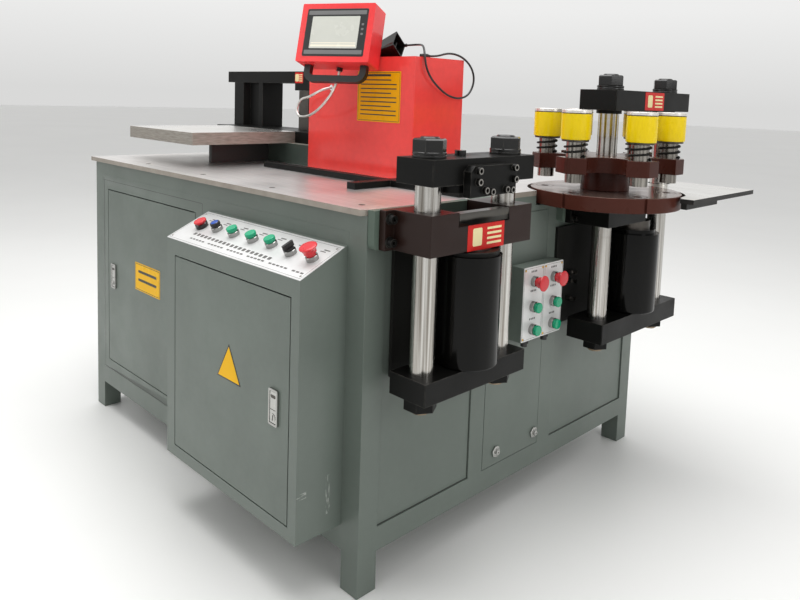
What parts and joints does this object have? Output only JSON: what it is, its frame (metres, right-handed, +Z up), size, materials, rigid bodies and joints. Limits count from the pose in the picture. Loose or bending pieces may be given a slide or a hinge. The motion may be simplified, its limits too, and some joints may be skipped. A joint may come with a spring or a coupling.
{
  "type": "busbar processing machine",
  "caption": "Hydraulic machine that shears, punches and bends busbars: steel cabinet with a shearing press, a turret punching press, a bending unit and a swivelling operator screen.",
  "frame": {"origin": "centre of the near corner foot, on the floor: the foot between the side with the electric box and the side with the stations", "axes": "+X out of the side with the shearing and punching stations, -Y out of the side with the electric box, +Z up"},
  "size_m": [1.763, 1.3175, 1.3386],
  "materials": {
    "cabinet_paint": "semi-gloss",
    "table_steel": "brushed",
    "black_satin": "satin",
    "black_gloss": "gloss",
    "chocolate": "semi-gloss",
    "hard_chrome": "polished",
    "dark_steel": "satin",
    "turret_brown": "satin",
    "urethane": "semi-gloss",
    "punch_steel": "bright",
    "green_paint": "satin",
    "bright_red": "gloss",
    "box_paint": "semi-gloss",
    "silver_plate": "satin",
    "latch_chrome": "polished",
    "red_plastic": "gloss",
    "blue_plastic": "gloss",
    "green_plastic": "gloss",
    "black_plastic": "semi-matt",
    "cord_rubber": "semi-gloss",
    "hose_metal": "ribbed"
  },
  "bodies": {
    "machine": {"bender_base": "green_paint", "bender_frame": "black_satin", "bending_table": "table_steel", "cabinet_frame": "cabinet_paint", "cabinet_panels": "cabinet_paint", "control_plates": "silver_plate", "electric_box": "box_paint", "electric_parts": "black_plastic", "extension_plate": "table_steel", "fixed_screws": "black_satin", "foot_cord": "cord_rubber", "foot_switch": "black_gloss", "guide_bars": "black_satin", "hand_box": "cabinet_paint", "piston_rods": "hard_chrome", "punch_bed": "black_satin", "red_cover": "bright_red", "screen_hose": "hose_metal", "shear_fixed_beam": "chocolate", "station_plates": "black_satin", "table_top": "table_steel", "tool_compartment": "cabinet_paint"},
    "shear_press": {"shear_press_beams": "black_satin", "shear_columns": "hard_chrome", "shear_barrel": "black_gloss"},
    "punch_press": {"punch_press_beams": "black_satin", "punch_columns": "hard_chrome", "punch_barrel": "black_gloss"},
    "turret": {"die_disc": "dark_steel", "turret_carrier": "turret_brown", "punch_guides": "hard_chrome", "turret_springs": "urethane"},
    "tool_door": {"tool_door": "cabinet_paint"},
    "tool_latch": {"tool_latch": "latch_chrome"},
    "electric_door": {"electric_door": "box_paint"},
    "electric_latch": {"electric_latch": "latch_chrome"},
    "cam_lock_1": {"cam_lock_1": "latch_chrome"},
    "cam_lock_2": {"cam_lock_2": "latch_chrome"},
    "stop_button": {"stop_button": "red_plastic"},
    "blue_button": {"blue_button": "blue_plastic"},
    "green_button_1": {"green_button_1": "green_plastic"},
    "green_button_2": {"green_button_2": "green_plastic"},
    "green_button_3": {"green_button_3": "green_plastic"},
    "selector_knob": {"selector_knob": "black_plastic"},
    "emergency_stop": {"emergency_stop": "red_plastic"},
    "hand_stop_1": {"hand_stop_1": "red_plastic"},
    "hand_stop_2": {"hand_stop_2": "red_plastic"},
    "hand_button_1": {"hand_button_1": "green_plastic"},
    "hand_button_2": {"hand_button_2": "green_plastic"},
    "hand_button_3": {"hand_button_3": "green_plastic"},
    "hand_button_4": {"hand_button_4": "green_plastic"},
    "punch_1": {"punch_1": "punch_steel"},
    "punch_2": {"punch_2": "punch_steel"},
    "punch_3": {"punch_3": "punch_steel"},
    "punch_4": {"punch_4": "punch_steel"},
    "punch_5": {"punch_5": "punch_steel"},
    "punch_6": {"punch_6": "punch_steel"},
    "bender_ram": {"bender_ram": "dark_steel"},
    "operator_screen": {"operator_screen": "bright_red"},
    "foot_pedal": {"foot_pedal": "black_plastic"}
  },
  "joints": [
    {"name": "tool_door_hinge", "type": "hinge", "parent": "machine", "child": "tool_door", "pos_m": [-0.6775, -0.0225, 0.1815], "axis": [0, 0, 1], "range_deg": [0, 90]},
    {"name": "tool_latch_lift", "type": "hinge", "parent": "tool_door", "child": "tool_latch", "pos_m": [-1.188, -0.0296, 0.5029], "axis": [-1, 0, 0], "range_deg": [0, 60]},
    {"name": "electric_door_hinge", "type": "hinge", "parent": "machine", "child": "electric_door", "pos_m": [-0.5365, -0.145, 0.178], "axis": [0, 0, -1], "range_deg": [0, 95]},
    {"name": "electric_latch_lift", "type": "hinge", "parent": "electric_door", "child": "electric_latch", "pos_m": [-0.112, -0.1521, 0.4539], "axis": [-1, 0, 0], "range_deg": [0, 60]},
    {"name": "cam_lock_1_turn", "type": "hinge", "parent": "machine", "child": "cam_lock_1", "pos_m": [0.0275, 0.4405, 0.181], "axis": [1, 0, 0], "range_deg": [0, 90]},
    {"name": "cam_lock_2_turn", "type": "hinge", "parent": "machine", "child": "cam_lock_2", "pos_m": [0.0275, 0.6065, 0.181], "axis": [1, 0, 0], "range_deg": [0, 90]},
    {"name": "stop_button_press", "type": "slide", "parent": "machine", "child": "stop_button", "axis": [0, 0.4249, -0.9052], "range_m": [0, 0.004], "stiffness_N_per_m": 800, "springref_m": -0.002},
    {"name": "blue_button_press", "type": "slide", "parent": "machine", "child": "blue_button", "axis": [0, 0.4249, -0.9052], "range_m": [0, 0.004], "stiffness_N_per_m": 800, "springref_m": -0.002},
    {"name": "green_button_1_press", "type": "slide", "parent": "machine", "child": "green_button_1", "axis": [0, 0.4249, -0.9052], "range_m": [0, 0.004], "stiffness_N_per_m": 800, "springref_m": -0.002},
    {"name": "green_button_2_press", "type": "slide", "parent": "machine", "child": "green_button_2", "axis": [0, 0.4249, -0.9052], "range_m": [0, 0.004], "stiffness_N_per_m": 800, "springref_m": -0.002},
    {"name": "green_button_3_press", "type": "slide", "parent": "machine", "child": "green_button_3", "axis": [0, 0.4249, -0.9052], "range_m": [0, 0.004], "stiffness_N_per_m": 800, "springref_m": -0.002},
    {"name": "emergency_stop_press", "type": "slide", "parent": "machine", "child": "emergency_stop", "axis": [0, 0.4249, -0.9052], "range_m": [0, 0.004], "stiffness_N_per_m": 800, "springref_m": -0.002},
    {"name": "selector_turn", "type": "hinge", "parent": "machine", "child": "selector_knob", "pos_m": [-0.1425, -0.09116, 0.73662], "axis": [0, -0.4249, 0.9052], "range_deg": [-45, 45]},
    {"name": "hand_stop_1_press", "type": "slide", "parent": "machine", "child": "hand_stop_1", "axis": [-1, 0, 0], "range_m": [0, 0.004], "stiffness_N_per_m": 800, "springref_m": -0.002},
    {"name": "hand_stop_2_press", "type": "slide", "parent": "machine", "child": "hand_stop_2", "axis": [-1, 0, 0], "range_m": [0, 0.004], "stiffness_N_per_m": 800, "springref_m": -0.002},
    {"name": "hand_button_1_press", "type": "slide", "parent": "machine", "child": "hand_button_1", "axis": [-1, 0, 0], "range_m": [0, 0.004], "stiffness_N_per_m": 800, "springref_m": -0.002},
    {"name": "hand_button_2_press", "type": "slide", "parent": "machine", "child": "hand_button_2", "axis": [-1, 0, 0], "range_m": [0, 0.004], "stiffness_N_per_m": 800, "springref_m": -0.002},
    {"name": "hand_button_3_press", "type": "slide", "parent": "machine", "child": "hand_button_3", "axis": [-1, 0, 0], "range_m": [0, 0.004], "stiffness_N_per_m": 800, "springref_m": -0.002},
    {"name": "hand_button_4_press", "type": "slide", "parent": "machine", "child": "hand_button_4", "axis": [-1, 0, 0], "range_m": [0, 0.004], "stiffness_N_per_m": 800, "springref_m": -0.002},
    {"name": "shear_stroke", "type": "slide", "parent": "machine", "child": "shear_press", "axis": [0, 0, -1], "range_m": [0, 0.036]},
    {"name": "punch_stroke", "type": "slide", "parent": "machine", "child": "punch_press", "axis": [0, 0, -1], "range_m": [0, 0.036]},
    {"name": "turret_turn", "type": "hinge", "parent": "machine", "child": "turret", "pos_m": [0.1183, 0.7505, 0.853], "axis": [0, 0, 1], "continuous": true},
    {"name": "punch_1_stroke", "type": "slide", "parent": "turret", "child": "punch_1", "axis": [0, 0, -1], "range_m": [0, 0.036], "stiffness_N_per_m": 3000, "springref_m": -0.012, "deforming": ["turret_springs"]},
    {"name": "punch_2_stroke", "type": "slide", "parent": "turret", "child": "punch_2", "axis": [0, 0, -1], "range_m": [0, 0.036], "stiffness_N_per_m": 3000, "springref_m": -0.012, "deforming": ["turret_springs"]},
    {"name": "punch_3_stroke", "type": "slide", "parent": "turret", "child": "punch_3", "axis": [0, 0, -1], "range_m": [0, 0.036], "stiffness_N_per_m": 3000, "springref_m": -0.012, "deforming": ["turret_springs"]},
    {"name": "punch_4_stroke", "type": "slide", "parent": "turret", "child": "punch_4", "axis": [0, 0, -1], "range_m": [0, 0.036], "stiffness_N_per_m": 3000, "springref_m": -0.012, "deforming": ["turret_springs"]},
    {"name": "punch_5_stroke", "type": "slide", "parent": "turret", "child": "punch_5", "axis": [0, 0, -1], "range_m": [0, 0.036], "stiffness_N_per_m": 3000, "springref_m": -0.012, "deforming": ["turret_springs"]},
    {"name": "punch_6_stroke", "type": "slide", "parent": "turret", "child": "punch_6", "axis": [0, 0, -1], "range_m": [0, 0.036], "stiffness_N_per_m": 3000, "springref_m": -0.012, "deforming": ["turret_springs"]},
    {"name": "bender_ram_stroke", "type": "slide", "parent": "machine", "child": "bender_ram", "axis": [-1, 0, 0], "range_m": [0, 0.15]},
    {"name": "screen_swivel", "type": "hinge", "parent": "machine", "child": "operator_screen", "pos_m": [-0.55798, 0.44777, 1.193], "axis": [0, 0, 1], "range_deg": [-45, 0], "deforming": ["screen_hose"]},
    {"name": "foot_pedal_press", "type": "hinge", "parent": "machine", "child": "foot_pedal", "pos_m": [-0.42936, 0.4398, 1.21932], "axis": [-0.3606, 0.6307, 0.6872], "range_deg": [-12, 0], "stiffness_Nm_per_rad": 0.4, "springref_deg": 2.86}
  ],
  "couplings": [
    {"joint": "punch_1_stroke", "follows": "punch_stroke", "ratio": 1}
  ]
}
